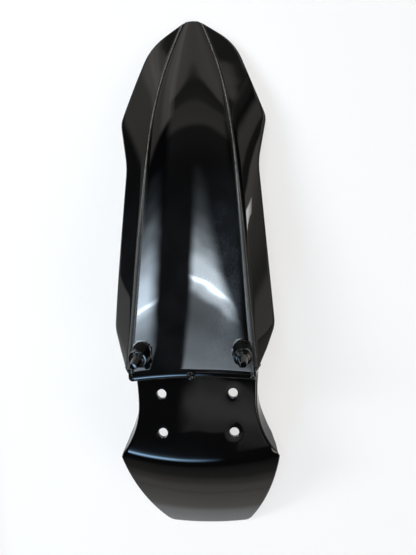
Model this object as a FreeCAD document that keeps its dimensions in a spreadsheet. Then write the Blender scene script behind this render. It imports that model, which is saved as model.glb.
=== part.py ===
"""A dirt-bike front fender, moulded in one piece.

The origin is the middle of the bolt pattern on the plate's upper face. +Y runs forward to the tip,
+Z is up, and the part is a mirror image of itself about X = 0. Lengths are millimetres, angles degrees.
"""
import FreeCAD, Part
import math
import os
import Sketcher

Vector = FreeCAD.Vector

SIZES = {
    # Wall of the whole moulding
    "wall": 3.0,
    # Front shell at its stations: place, half width and height of the ridges, rise of the channel
    # between them, and fall of the wings outside them
    "rear_ridge_x": 72.6, "rear_ridge_z": 40.5, "rear_crown": 4.0, "rear_wing_angle": 60.0,
    "cheek_y": 104.0, "cheek_ridge_x": 67.2, "cheek_ridge_z": 25.5, "cheek_crown": 5.5,
    "cheek_wing_angle": 45.0,
    "middle_y": 262.0, "middle_ridge_x": 56.0, "middle_ridge_z": -9.5, "middle_crown": 8.0,
    "middle_wing_angle": 29.0,
    "front_y": 346.0, "front_ridge_x": 47.3, "front_ridge_z": -30.0, "front_crown": 8.0,
    "front_wing_angle": 23.5,
    "nose_y": 423.0, "nose_ridge_x": 31.2, "nose_ridge_z": -59.0, "nose_crown": 6.0,
    "nose_wing_angle": 10.0,
    "end_ridge_x": 6.0, "end_ridge_z": -82.0, "end_crown": 1.0, "end_wing_angle": 5.0,
    # Bead that runs along each ridge
    "bead_half": 2.5, "bead_rise": 1.0,
    # Plan outline of the front shell, corner by corner, with the corners' radii
    "rim_x": 71.9, "rim_y": 48.0, "rim_bow": 2.5, "rim_corner_r": 6.0,
    "rim_roll_r": 9.0, "rim_roll_lap": 0.4,
    "step_depth": 10.5,
    "wide_x": 93.8, "wide_y": 102.0, "wide_r": 30.0,
    "waist_x": 79.9, "waist_y": 293.0, "waist_r": 100.0,
    "arrow_x": 90.6, "arrow_y": 349.5, "arrow_r": 25.0,
    "shoulder_x": 54.0, "shoulder_y": 447.3, "shoulder_r": 75.0,
    "tip_y": 485.4, "tip_r": 28.0,
    # Mounting plate and rear flap
    "neck_x": 70.0, "neck_y": 12.5,
    "flap_x": 94.0, "flap_y": -50.0, "flap_corner_r": 8.0, "flap_side_r": 300.0,
    "flap_end_x": 50.0, "flap_end_y": -167.0, "flap_end_r": 24.0,
    "crest_centre_y": 250.0, "bend_y": -52.0, "bend_r": 24.0, "flap_angle": 27.0, "flap_r": 400.0,
    # Flanges that turn down along the plate's sides
    "flange_depth": 20.0, "flange_neck_flare": 0.5, "flange_end_flare": 5.5, "flange_side_r": 115.0,
    "flange_fade_y": -30.0, "flange_end_depth": 12.0,
    # Bolt holes
    "hole_spacing_x": 84.0, "hole_spacing_y": 46.0, "hole_r": 5.5,
    "boss_r": 10.0, "boss_height": 3.0, "recess_r": 10.5, "recess_depth": 0.4,
    # Stepped pegs
    "peg_x": 56.5, "peg_y": 77.5, "peg_lean_back": 18.0, "peg_lean_out": 6.0,
    "peg_base_r": 10.5, "peg_base_height": 14.0, "peg_collar_r": 8.0, "peg_collar_height": 2.0,
    "peg_pin_root_r": 6.0, "peg_pin_end_r": 3.9, "peg_pin_length": 13.0, "peg_core_r": 7.0,
    "peg_core_height": 10.0,
    # Nub in the middle of the rim
    "nub_setback": 4.5, "nub_r": 4.0, "nub_height": 2.6, "nub_dimple_r": 2.3, "nub_dimple_depth": 1.2,
}

# Depth of the blocks that the shell is cut from, and how far they run past their trimmed edges
BLOCK_FLOOR = -150.0
BLOCK_TOP = 90.0
OVERRUN = 12.0
PLATE_SWEEP = 80.0
ROLL_SWEEP = 40.0

doc = FreeCAD.newDocument("front_fender")
sheet = doc.addObject("Spreadsheet::Sheet", "sizes")
for row, (name, value) in enumerate(SIZES.items(), start=1):
    sheet.set(f"A{row}", name)
    sheet.set(f"B{row}", str(value))
    sheet.setAlias(f"B{row}", name)
doc.recompute()


class Term:
    """A number together with the sheet expression that gives it."""

    def __init__(self, value, text):
        self.value = value
        self.text = text

    def __add__(self, other):
        other = term(other)
        return Term(self.value + other.value, f"({self.text} + {other.text})")

    def __sub__(self, other):
        other = term(other)
        return Term(self.value - other.value, f"({self.text} - {other.text})")

    def __mul__(self, other):
        other = term(other)
        return Term(self.value * other.value, f"({self.text} * {other.text})")

    def __truediv__(self, other):
        other = term(other)
        return Term(self.value / other.value, f"({self.text} / {other.text})")

    def __neg__(self):
        return Term(-self.value, f"(0 - {self.text})")


def term(value):
    return value if isinstance(value, Term) else Term(float(value), f"({float(value)})")


def size(name):
    return Term(float(sheet.get(name)), f"sizes.{name}")


def tan(angle):
    return Term(math.tan(math.radians(angle.value)), f"tan({angle.text})")


def sin(angle):
    return Term(math.sin(math.radians(angle.value)), f"sin({angle.text})")


def cos(angle):
    return Term(math.cos(math.radians(angle.value)), f"cos({angle.text})")


def sqrt(number):
    return Term(math.sqrt(number.value), f"sqrt({number.text})")


def arc_radius(half_chord, rise):
    """Radius of the arc that rises this far over this half chord."""
    return (half_chord * half_chord + rise * rise) / (rise * 2)


def mirrored(points):
    return [(-x, y) for x, y in reversed(points)]


def line_to(x, y):
    return (term(x), term(y), None, 0)


def arc_to(x, y, radius, side):
    """An arc to this point; side is +1 where it bulges to the right of its direction, -1 to the left."""
    return (term(x), term(y), term(radius), side)


def arc_middle(start, end, radius, side):
    chord = end - start
    half = chord.Length / 2
    rise = radius - math.sqrt(radius * radius - half * half)
    right = Vector(chord.y, -chord.x, 0).normalize()
    return (start + end) / 2 + right * (rise * side)


def closed_sketch(body, name, role, path, offset=None, shift=None, axis=()):
    """A closed outline on one of the body's own planes, every corner and radius bound to the sheet.

    An axis, where one is given, is a construction line between two points.
    """
    sketch = body.newObject("Sketcher::SketchObject", name)
    plane = next(item for item in body.Origin.OriginFeatures if item.Role == role)
    sketch.AttachmentSupport = [(plane, "")]
    sketch.MapMode = "FlatFace"
    if offset is not None:
        sketch.setExpression("AttachmentOffset.Base.z", offset.text)
    if shift is not None:
        sketch.setExpression("AttachmentOffset.Base.x", shift.text)
    corners = [Vector(x.value, y.value, 0) for x, y, radius, side in path]
    for index, (x, y, radius, side) in enumerate(path):
        start, end = corners[index - 1], corners[index]
        if radius is None:
            sketch.addGeometry(Part.LineSegment(start, end), False)
        else:
            middle = arc_middle(start, end, radius.value, side)
            sketch.addGeometry(Part.ArcOfCircle(start, middle, end), False)
    ends = []
    for index, corner in enumerate(corners):
        starts_here = (sketch.getPoint(index, 1) - corner).Length < (sketch.getPoint(index, 2) - corner).Length
        ends.append(1 if starts_here else 2)
    for index in range(len(path)):
        following = (index + 1) % len(path)
        sketch.addConstraint(Sketcher.Constraint(
            "Coincident", index, ends[index], following, 3 - ends[following]))
    for index, (x, y, radius, side) in enumerate(path):
        for kind, value in (("DistanceX", x), ("DistanceY", y)):
            number = sketch.addConstraint(Sketcher.Constraint(kind, -1, 1, index, ends[index], value.value))
            sketch.setExpression(f"Constraints[{number}]", value.text)
        if radius is not None:
            number = sketch.addConstraint(Sketcher.Constraint("Radius", index, radius.value))
            sketch.setExpression(f"Constraints[{number}]", radius.text)
    if axis:
        ends_of_axis = [Vector(x.value, y.value, 0) for x, y in axis]
        line = sketch.addGeometry(Part.LineSegment(*ends_of_axis), True)
        for end, (x, y) in enumerate(axis, start=1):
            for kind, value in (("DistanceX", x), ("DistanceY", y)):
                number = sketch.addConstraint(Sketcher.Constraint(kind, -1, 1, line, end, value.value))
                sketch.setExpression(f"Constraints[{number}]", value.text)
    return sketch


def new_body(name):
    return doc.addObject("PartDesign::Body", name)


def padded(name, path, low, high):
    """A straight block of this plan outline between two heights."""
    body = new_body(name)
    sketch = closed_sketch(body, f"{name}_outline", "XY_Plane", path, offset=term(low))
    pad = body.newObject("PartDesign::Pad", f"{name}_pad")
    pad.Profile = sketch
    pad.setExpression("Length", (term(high) - low).text)
    doc.recompute()
    return body


def round_upright_edges(body, corners):
    """Rounds the block's upright edges at these (x, y, radius) corners."""
    for index, (x, y, radius) in enumerate(corners):
        base = body.Tip
        edges = []
        for number, edge in enumerate(base.Shape.Edges, start=1):
            middle = (edge.Vertexes[0].Point + edge.Vertexes[-1].Point) / 2
            upright = abs(edge.Vertexes[0].Point.z - edge.Vertexes[-1].Point.z) > 1.0
            if upright and abs(abs(middle.x) - x.value) < 0.01 and abs(middle.y - y.value) < 0.01:
                edges.append(f"Edge{number}")
        fillet = body.newObject("PartDesign::Fillet", f"{body.Name}_round_{index}")
        fillet.Base = (base, edges)
        fillet.setExpression("Radius", radius.text)
        doc.recompute()


def boolean(kind, name, base, tool):
    result = doc.addObject(f"Part::{kind}", name)
    result.Base = base
    result.Tool = tool
    doc.recompute()
    return result


wall = size("wall")
rim_x, rim_y, rim_bow = size("rim_x"), size("rim_y"), size("rim_bow")
reach = size("wide_x") + OVERRUN

STATIONS = ("rear", "cheek", "middle", "front", "nose", "end")


def station_y(station):
    if station == "rear":
        return rim_y - OVERRUN
    if station == "end":
        return size("tip_y") + OVERRUN / 2
    return size(f"{station}_y")


def skin_section(body, station, inside):
    """The shell's cross-section at a station, closed at the foot of the block."""
    ridge_x, ridge_z = size(f"{station}_ridge_x"), size(f"{station}_ridge_z")
    crown, angle = size(f"{station}_crown"), size(f"{station}_wing_angle")
    bead_half, bead_rise = size("bead_half"), size("bead_rise")
    wing_x, wing_z = ridge_x + bead_half, ridge_z - bead_rise
    if inside:
        corner_x, corner_z = wing_x - wall * tan(angle / 2), wing_z - wall
        ridge = [arc_to(corner_x, corner_z, arc_radius(corner_x, crown), -1)]
        left_ridge = [line_to(-corner_x, corner_z)]
        wing_x, wing_z = corner_x, corner_z
    else:
        channel_x = ridge_x - bead_half
        bead_r = arc_radius(bead_half, bead_rise)
        ridge = [arc_to(channel_x, wing_z, arc_radius(channel_x, crown), -1),
                 arc_to(wing_x, wing_z, bead_r, -1)]
        left_ridge = [line_to(-wing_x, wing_z), arc_to(-channel_x, wing_z, bead_r, -1)]
    edge_z = wing_z - (reach - wing_x) * tan(angle)
    path = left_ridge + ridge + [line_to(reach, edge_z), line_to(reach, BLOCK_FLOOR),
                                 line_to(-reach, BLOCK_FLOOR), line_to(-reach, edge_z)]
    return closed_sketch(body, f"{body.Name}_{station}", "XZ_Plane", path, offset=-station_y(station))


def skin_block(name, inside):
    """Everything under the shell's outer or inner face."""
    body = new_body(name)
    sections = [skin_section(body, station, inside) for station in STATIONS]
    doc.recompute()
    loft = body.newObject("PartDesign::AdditiveLoft", f"{name}_loft")
    loft.Profile = sections[0]
    loft.Sections = sections[1:]
    doc.recompute()
    return body


def seat_height(block, x, y):
    """Height of a block's top over a point of the plan."""
    plumb = Part.makeLine(Vector(x, y, BLOCK_FLOOR + 1), Vector(x, y, BLOCK_TOP))
    return plumb.common(block.Shape).BoundBox.ZMax


def rim_roll(name, inset):
    """Everything under and in front of the rolled rear rim.

    The rim's side view is swung about an axis far below, so that the roll keeps to the rim's bow and crown.
    """
    roll_r, lap = size("rim_roll_r"), size("rim_roll_lap")
    edge_y = rim_y + rim_bow
    edge_z = term(seat_height(outer_skin, 0, edge_y.value))
    fall = edge_z - seat_height(outer_skin, 0, (edge_y + roll_r).value)
    slope = sqrt(fall * fall + roll_r * roll_r)
    centre_y = edge_y + roll_r - lap
    centre_z = edge_z - fall - slope + lap
    radius = roll_r - inset
    back_y = centre_y - radius
    front_y = centre_y + radius * fall / slope
    far_y = size("tip_y") + OVERRUN
    path = [
        line_to(back_y, BLOCK_FLOOR * 2),
        line_to(back_y, centre_z),
        arc_to(front_y, centre_z + radius * roll_r / slope, radius, -1),
        line_to(front_y, BLOCK_TOP),
        line_to(far_y, BLOCK_TOP),
        line_to(far_y, BLOCK_FLOOR * 2),
    ]
    crown = size("rear_crown")
    rise = sqrt(rim_bow * rim_bow + crown * crown)
    swing_r = arc_radius(rim_x, rise)
    axis_y = edge_y - swing_r * rim_bow / rise
    axis_z = edge_z - swing_r * crown / rise
    body = new_body(name)
    sketch = closed_sketch(body, f"{name}_side_view", "YZ_Plane", path,
                           axis=((axis_y + crown, axis_z - rim_bow), (axis_y - crown, axis_z + rim_bow)))
    turn = body.newObject("PartDesign::Revolution", f"{name}_swing")
    turn.Profile = sketch
    turn.ReferenceAxis = (sketch, ["Axis0"])
    turn.Angle = ROLL_SWEEP
    turn.Midplane = True
    doc.recompute()
    return body


def front_outline():
    """The front shell's plan outline, as a block with rounded corners."""
    names = ("wide", "waist", "arrow", "shoulder")
    right = [(rim_x, rim_y)] + [(size(f"{name}_x"), size(f"{name}_y")) for name in names]
    points = right + [(term(0), size("tip_y"))] + mirrored(right)
    path = [line_to(x, y) for x, y in points]
    path[0] = arc_to(rim_x, rim_y, arc_radius(rim_x, rim_bow), -1)
    body = padded("front_outline", path, BLOCK_FLOOR, BLOCK_TOP)
    corners = [(rim_x, rim_y, size("rim_corner_r"))]
    corners += [(size(f"{name}_x"), size(f"{name}_y"), size(f"{name}_r")) for name in names]
    corners += [(term(0), size("tip_y"), size("tip_r"))]
    round_upright_edges(body, corners)
    return body


def front_hollow():
    """Plan of the space under the front shell, which leaves the step wall and its cheeks standing."""
    side_x = rim_x - wall
    back_y = rim_y + wall
    open_y = rim_y + size("step_depth")
    far_y = size("tip_y") + OVERRUN
    points = [(side_x, back_y), (side_x, open_y), (reach + OVERRUN, open_y), (reach + OVERRUN, far_y)]
    path = [line_to(x, y) for x, y in points + mirrored(points)]
    path[0] = arc_to(side_x, back_y, arc_radius(side_x, rim_bow), -1)
    return padded("front_hollow", path, BLOCK_FLOOR - OVERRUN, BLOCK_TOP)


def plate_and_flap():
    """The flat plate, the curved crest behind it and the drooping flap, one wall thick.

    Their side view is swung about an upright axis far in front, so that the crest runs in an arc and
    the flap's foot is level.
    """
    centre_y, bend_r, flap_r = size("crest_centre_y"), size("bend_r"), size("flap_r")
    angle = size("flap_angle")
    front_r = centre_y - rim_y - rim_bow - OVERRUN * 2
    plate_r = centre_y - size("bend_y")
    end_r = centre_y - size("flap_end_y") + OVERRUN / 2
    bend_x = -plate_r
    flap_centre_x = bend_x - bend_r * sin(angle) + flap_r * sin(angle)
    flap_centre_z = bend_r * (cos(angle) - 1) - flap_r * cos(angle)
    end_sin = (flap_centre_x + end_r) / flap_r
    end_cos = sqrt(term(1) - end_sin * end_sin)

    def bend_end(radius):
        return bend_x - radius * sin(angle), radius * cos(angle) - bend_r

    def flap_end(radius):
        return flap_centre_x - radius * end_sin, flap_centre_z + radius * end_cos

    inner_bend_r, inner_flap_r = bend_r - wall, flap_r - wall
    path = [
        line_to(-front_r, 0),
        line_to(bend_x, 0),
        arc_to(*bend_end(bend_r), bend_r, 1),
        arc_to(*flap_end(flap_r), flap_r, 1),
        line_to(*flap_end(inner_flap_r)),
        arc_to(*bend_end(inner_bend_r), inner_flap_r, -1),
        arc_to(bend_x, -wall, inner_bend_r, -1),
        line_to(-front_r, -wall),
    ]
    body = new_body("plate_sheet")
    sketch = closed_sketch(body, "plate_side_view", "YZ_Plane", path, shift=centre_y)
    turn = body.newObject("PartDesign::Revolution", "plate_sweep")
    turn.Profile = sketch
    turn.ReferenceAxis = (sketch, ["V_Axis"])
    turn.Angle = PLATE_SWEEP
    turn.Midplane = True
    doc.recompute()
    return body


def neck_arc_r(dx, dy):
    """Radius of the neck's side, which runs straight fore and aft at the neck."""
    return (dx * dx + dy * dy) / (dx * 2)


def rear_outline():
    """Plan outline of the plate and the flap, as a block with rounded corners."""
    neck_x, neck_y = size("neck_x"), size("neck_y")
    flap_x, flap_y, side_r = size("flap_x"), size("flap_y"), size("flap_side_r")
    foot_r = size("crest_centre_y") - size("flap_end_y")
    foot_x = size("flap_end_x")
    foot_y = size("crest_centre_y") - sqrt(foot_r * foot_r - foot_x * foot_x)
    front_y = rim_y + rim_bow + wall
    front_arc_r = neck_arc_r(rim_x - neck_x, rim_y - neck_y)
    rear_arc_r = neck_arc_r(flap_x - neck_x, neck_y - flap_y)
    path = [
        line_to(rim_x, front_y),
        line_to(rim_x, rim_y),
        arc_to(neck_x, neck_y, front_arc_r, 1),
        arc_to(flap_x, flap_y, rear_arc_r, 1),
        arc_to(foot_x, foot_y, side_r, -1),
        arc_to(-foot_x, foot_y, foot_r, -1),
        arc_to(-flap_x, flap_y, side_r, -1),
        arc_to(-neck_x, neck_y, rear_arc_r, 1),
        arc_to(-rim_x, rim_y, front_arc_r, 1),
        line_to(-rim_x, front_y),
    ]
    body = padded("rear_outline", path, BLOCK_FLOOR, BLOCK_TOP)
    round_upright_edges(body, [(flap_x, flap_y, size("flap_corner_r")),
                               (foot_x, foot_y, size("flap_end_r"))])
    return body


def flange_block(name, inset, drop, extend):
    """A block under the plate whose sides lean from the neck's outline out to the flange's foot."""
    neck_x, neck_y = size("neck_x"), size("neck_y")
    flap_x, flap_y = size("flap_x"), size("flap_y")
    end_y = flap_y + size("flap_corner_r")
    side_r = neck_arc_r(flap_x - neck_x, neck_y - flap_y)
    end_x = neck_x + side_r - sqrt(side_r * side_r - (neck_y - end_y) * (neck_y - end_y))
    front_r = neck_arc_r(rim_x - neck_x, rim_y - neck_y)
    foot_r = size("flange_side_r")
    body = new_body(name)
    sections = []
    levels = (
        (term(0), neck_x, end_x, side_r),
        (-size("flange_depth"), neck_x + size("flange_neck_flare"), end_x + size("flange_end_flare"), foot_r),
    )
    for level, waist_x, heel_x, rear_r in levels:
        right = [
            line_to(rim_x - inset, rim_y + extend),
            line_to(rim_x - inset, rim_y),
            arc_to(waist_x - inset, neck_y, front_r, 1),
            arc_to(heel_x - inset, end_y, rear_r, 1),
            line_to(heel_x - inset, end_y - extend),
        ]
        left = [
            line_to(-heel_x + inset, end_y - extend),
            line_to(-heel_x + inset, end_y),
            arc_to(-waist_x + inset, neck_y, rear_r, 1),
            arc_to(-rim_x + inset, rim_y, front_r, 1),
            line_to(-rim_x + inset, rim_y + extend),
        ]
        path = right + left
        if extend == 0:
            path = right[1:4] + left[1:4]
        sections.append(closed_sketch(body, f"{name}_{len(sections)}", "XY_Plane", path, offset=level - drop))
    doc.recompute()
    loft = body.newObject("PartDesign::AdditiveLoft", f"{name}_loft")
    loft.Profile = sections[0]
    loft.Sections = sections[1:]
    doc.recompute()
    return body


def flange_fade():
    """What is taken off the flanges so that their foot rises to meet the flap."""
    end_y = size("flap_y") + size("flap_corner_r")
    depth, end_depth = size("flange_depth"), size("flange_end_depth")
    path = [
        line_to(size("flange_fade_y"), -depth),
        line_to(end_y, -end_depth),
        line_to(end_y - OVERRUN, -end_depth),
        line_to(end_y - OVERRUN, -depth - OVERRUN),
        line_to(size("flange_fade_y"), -depth - OVERRUN),
    ]
    body = new_body("flange_fade")
    sketch = closed_sketch(body, "flange_fade_side", "YZ_Plane", path)
    pad = body.newObject("PartDesign::Pad", "flange_fade_pad")
    pad.Profile = sketch
    pad.setExpression("Length", (reach * 2).text)
    pad.Midplane = True
    doc.recompute()
    return body


def peg(name, path):
    """A turned form that stands in the channel, leaning back and outward from its seat."""
    body = new_body(name)
    sketch = closed_sketch(body, f"{name}_profile", "XZ_Plane", path)
    turn = body.newObject("PartDesign::Revolution", f"{name}_turn")
    turn.Profile = sketch
    turn.ReferenceAxis = (sketch, ["V_Axis"])
    turn.Angle = 360
    doc.recompute()
    return body


def stepped_peg():
    base_r, base_top = size("peg_base_r"), size("peg_base_height")
    collar_r, pin_r, end_r = size("peg_collar_r"), size("peg_pin_root_r"), size("peg_pin_end_r")
    collar_top = base_top + size("peg_collar_height")
    pin_top = collar_top + size("peg_pin_length")
    points = [(0, -base_r), (base_r, -base_r), (base_r, base_top), (collar_r, base_top),
              (collar_r, collar_top), (pin_r, collar_top), (end_r, pin_top), (0, pin_top)]
    return peg("peg", [line_to(x, z) for x, z in points])


def peg_core():
    core_r = size("peg_core_r")
    foot = -size("peg_base_r") * 3
    points = [(0, foot), (core_r, foot), (core_r, size("peg_core_height")), (0, size("peg_core_height"))]
    return peg("peg_core", [line_to(x, z) for x, z in points])


def on_both_sides(body, seat, turn):
    """The body at its seat on the right, and its mirror image on the left."""
    body.Placement = FreeCAD.Placement(seat, turn)
    twin = doc.addObject("Part::Mirroring", f"{body.Name}_left")
    twin.Source = body
    twin.Normal = Vector(1, 0, 0)
    doc.recompute()
    return boolean("Fuse", f"{body.Name}_pair", body, twin)


def nub():
    nub_r, height, foot = size("nub_r"), size("nub_height"), -size("nub_r")
    dimple_r, depth = size("nub_dimple_r"), size("nub_dimple_depth")
    points = [(0, foot), (nub_r, foot), (nub_r, height), (dimple_r, height),
              (dimple_r, height - depth), (0, height - depth)]
    return peg("nub", [line_to(x, z) for x, z in points])


outer_skin = skin_block("outer_skin", False)
inner_skin = skin_block("inner_skin", True)
square_block = boolean("Common", "square_block", outer_skin, front_outline())
front_block = boolean("Common", "front_block", square_block, rim_roll("outer_roll", 0))

peg_seat = Vector(size("peg_x").value, size("peg_y").value, 0)
peg_seat.z = seat_height(front_block, peg_seat.x, peg_seat.y)
peg_turn = FreeCAD.Rotation(0, size("peg_lean_out").value, size("peg_lean_back").value)
pegs = on_both_sides(stepped_peg(), peg_seat, peg_turn)
cores = on_both_sides(peg_core(), peg_seat, peg_turn)
rim_nub = nub()
nub_y = (rim_y + rim_bow + size("nub_setback")).value
rim_nub.Placement = FreeCAD.Placement(Vector(0, nub_y, seat_height(front_block, 0, nub_y)), FreeCAD.Rotation())
doc.recompute()

square_hollow = boolean("Common", "square_hollow", inner_skin, front_hollow())
hollow_block = boolean("Common", "hollow_block", square_hollow, rim_roll("inner_roll", wall))
studded = boolean("Fuse", "studded_block", boolean("Fuse", "pegged_block", front_block, pegs), rim_nub)
front_shell = boolean("Cut", "front_shell", studded, hollow_block)
cored_shell = boolean("Cut", "cored_shell", front_shell, cores)
step_y = rim_y + size("step_depth") + 1
under_step = padded("under_step", [line_to(x, y) for x, y in (
    (reach, rim_y - OVERRUN), (reach, step_y), (-reach, step_y), (-reach, rim_y - OVERRUN))],
    BLOCK_FLOOR - OVERRUN, -wall)
front_part = boolean("Cut", "front_part", cored_shell, under_step)

plate = boolean("Common", "plate", plate_and_flap(), rear_outline())
flange_hollow = flange_block("flange_hollow", wall, wall, OVERRUN)
flange_full = boolean("Cut", "flange_full", flange_block("flange_outer", 0, 0, 0), flange_hollow)
flange = boolean("Cut", "flange", flange_full, flange_fade())
rear_part = boolean("Fuse", "rear_part", plate, flange)
joined = boolean("Fuse", "joined", rear_part, front_part)

bosses, holes = [], []
for side in (-1, 1):
    for end in (-1, 1):
        place = {"x": size("hole_spacing_x") * (side / 2), "y": size("hole_spacing_y") * (end / 2)}
        label = f"{'left' if side < 0 else 'right'}_{'rear' if end < 0 else 'front'}"
        boss = doc.addObject("Part::Cylinder", f"boss_{label}")
        boss.setExpression("Radius", "sizes.boss_r")
        boss.setExpression("Height", "sizes.wall + sizes.boss_height")
        boss.setExpression("Placement.Base.z", "-sizes.wall - sizes.boss_height")
        hole = doc.addObject("Part::Cylinder", f"hole_{label}")
        hole.setExpression("Radius", "sizes.hole_r")
        hole.setExpression("Height", f"sizes.wall + sizes.boss_height + {2 * OVERRUN}")
        hole.setExpression("Placement.Base.z", f"-sizes.wall - sizes.boss_height - {OVERRUN}")
        recess = doc.addObject("Part::Cylinder", f"recess_{label}")
        recess.setExpression("Radius", "sizes.recess_r")
        recess.setExpression("Height", "sizes.recess_depth")
        recess.setExpression("Placement.Base.z", "-sizes.recess_depth")
        for item in (boss, hole, recess):
            item.setExpression("Placement.Base.x", place["x"].text)
            item.setExpression("Placement.Base.y", place["y"].text)
        bosses.append(boss)
        holes += [hole, recess]
bossed = doc.addObject("Part::MultiFuse", "bossed")
bossed.Shapes = [joined] + bosses
drill = doc.addObject("Part::MultiFuse", "drill")
drill.Shapes = holes
doc.recompute()
fender = boolean("Cut", "fender", bossed, drill)

fender.Label = "fender"

for item in doc.Objects:
    if "Invalid" in item.State or "Error" in item.State:
        raise RuntimeError(f"{item.Name} did not build: {item.State}")
if fender.Shape.isNull() or not fender.Shape.isValid() or len(fender.Shape.Solids) != 1:
    raise RuntimeError("the fender is not one valid solid")

os.makedirs("parts", exist_ok=True)
fender.Shape.exportStep(f"parts/{fender.Label}.step")
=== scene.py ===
"""Looks of the front fender: a gloss black moulding on a pale floor, seen from above as in the photograph.

The moulding is one smooth shell with rounded edges, built in millimetres in the CAD frame: +Y runs forward
to the tip, +Z is up, and the two sides are mirror images about X = 0.
"""
import math

import bmesh
import bpy
import numpy as np
from mathutils import Matrix, Vector


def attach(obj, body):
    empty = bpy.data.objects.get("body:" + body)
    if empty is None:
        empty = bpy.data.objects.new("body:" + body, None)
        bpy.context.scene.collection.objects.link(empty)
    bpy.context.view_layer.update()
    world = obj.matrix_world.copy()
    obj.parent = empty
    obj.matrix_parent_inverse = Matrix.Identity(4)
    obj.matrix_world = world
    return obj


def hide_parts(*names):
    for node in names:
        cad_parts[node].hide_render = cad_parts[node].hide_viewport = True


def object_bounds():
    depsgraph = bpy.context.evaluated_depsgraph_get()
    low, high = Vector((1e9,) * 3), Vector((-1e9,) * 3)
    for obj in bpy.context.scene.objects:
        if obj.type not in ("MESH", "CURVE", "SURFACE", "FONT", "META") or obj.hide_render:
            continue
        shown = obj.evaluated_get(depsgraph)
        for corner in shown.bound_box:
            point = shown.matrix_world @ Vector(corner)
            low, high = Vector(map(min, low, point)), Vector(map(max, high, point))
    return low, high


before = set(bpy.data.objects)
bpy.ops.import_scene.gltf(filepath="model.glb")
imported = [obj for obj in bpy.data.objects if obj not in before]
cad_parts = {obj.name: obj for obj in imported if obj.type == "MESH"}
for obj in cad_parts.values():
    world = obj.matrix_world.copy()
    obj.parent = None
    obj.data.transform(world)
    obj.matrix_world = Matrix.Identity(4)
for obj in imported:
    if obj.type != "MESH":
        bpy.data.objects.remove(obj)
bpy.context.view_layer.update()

MM = 0.001

# Wall of the moulding; its free edges are rounded over half of it
WALL = 3.0
LIP = WALL / 2
LIP_INSET = 0.8
LIP_STEPS = 6

# Front shell at its stations: place, ridges, rise of the channel between them and fall of the wings
STATION_Y = (36.0, 104.0, 262.0, 346.0, 423.0, 491.4)
RIDGE_X = (72.6, 67.2, 56.0, 47.3, 31.2, 6.0)
RIDGE_Z = (40.5, 25.5, -9.5, -30.0, -59.0, -82.0)
CROWN = (4.0, 5.5, 8.0, 8.0, 6.0, 1.0)
WING_ANGLE = (60.0, 45.0, 29.0, 23.5, 10.0, 5.0)
WING_BULGE = 0.0022
WING_MIDDLE = 18.0
BEAD_HALF = 2.5
BEAD_RISE = 1.0
RIDGE_SOFT = 1.6
INNER_RIDGE_SOFT = 4.0

# Plan of the front shell: corners of its right half from the rear rim to the tip, with their radii
RIM_X, RIM_Y, RIM_BOW = 71.9, 45.4, 5.1
WING_START, WING_START_SHARE = (71.9, 48.0), 0.07
RIM_CORNER_R = 5.0
RIM_CORNER_X = 71.6
RIM_CORNER_TURN = math.radians(80.0)
WING_END = (76.4, 60.5)
WING_END_TURN = math.radians(20.0)
WING_END_FIRST, WING_END_REST, WING_END_OPENING = 0.45, 0.55, 0.35
FRONT_CORNERS = ((93.8, 102.0, 30.0), (79.9, 293.0, 100.0), (90.6, 349.5, 25.0), (54.0, 447.3, 75.0),
                 (0.0, 485.4, 28.0))
ROLL_R, ROLL_TURN = 14.0, math.radians(20.0)
ROLL_EDGE_R = 3.3
ROLL_LEAD_Y = 78.0
CHEEK_WAY = (2.5, 6.0)

# Plate, bend and flap
NECK_X, NECK_Y = 70.0, 12.5
FLAP_X, FLAP_Y, FLAP_CORNER = 94.0, -50.0, 4.1
FLAP_SIDE_R = 300.0
FLAP_END_X, FLAP_END_Y, FLAP_END_CORNER = 50.0, -167.0, 9.5
CREST_CENTRE_Y, BEND_Y, BEND_R = 250.0, -52.0, 24.0
FLAP_ANGLE, FLAP_R = math.radians(27.0), 400.0
STEP_FILLET_R = 2.5
EDGE_LENGTH = 5.0
EDGE_TURN, EDGE_LEAST_TURN, EDGE_TURN_GAIN = math.radians(84.0), 0.001, 1.6
FLANGE_DEPTH = 20.0
FLANGE_Y = (-52.0, -49.0, -42.0, -30.0, -14.0, -3.0, 8.0, 20.0, 48.0)
FLANGE_SHARE = (0.0, 0.0, 0.55, 1.0, 1.0, 1.0, 1.0, 1.0, 1.0)
FLANGE_FLARE = (1.0, 3.0, 4.4, 4.8, 4.3, 3.0, 1.4, 0.2, 0.2)

# Bolt holes: their place, the reach of the form that cuts them, the bosses below and the dishes around them
HOLE_X, HOLE_Y, HOLE_R = 42.0, 23.0, 5.5
HOLE_TOP, HOLE_TOP_MARGIN, HOLE_BOTTOM = 4.0, 2.0, -12.0
BOSS_R, BOSS_HEIGHT, BOSS_DRAFT, BOSS_TOP = 10.0, 3.0, 0.3, -1.0
DISH_R, DISH_DEPTH, HOLE_EDGE = 12.5, 0.35, 0.9

# Pegs: place, lean, turned steps as radius and height, hollow core, the skirt of the fillet at the foot, and
# how the height is searched at which each spoke of the foot meets the skin
PEG_X, PEG_Y = 56.5, 77.5
PEG_LEAN_BACK, PEG_LEAN_OUT = math.radians(18.0), math.radians(6.0)
PEG_BASE_R, PEG_FILLET = 10.5, 1.6
PEG_STEPS = ((PEG_BASE_R, 10.0), (PEG_BASE_R - 0.2, 14.0), (8.0, 14.0), (7.8, 16.0), (6.0, 16.2), (3.9, 29.0),
             (0, 29.0))
CORE_R, CORE_BOTTOM, CORE_TOP = 7.0, -34.0, 10.0
SKIRT_RINGS, SKIRT_DEPTH, SKIRT_UNDER, SKIRT_MIDDLE = 8, 1.5, 0.02, 2.0
SEAT_REACH, SEAT_HALVINGS = 14.0, 30

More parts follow.
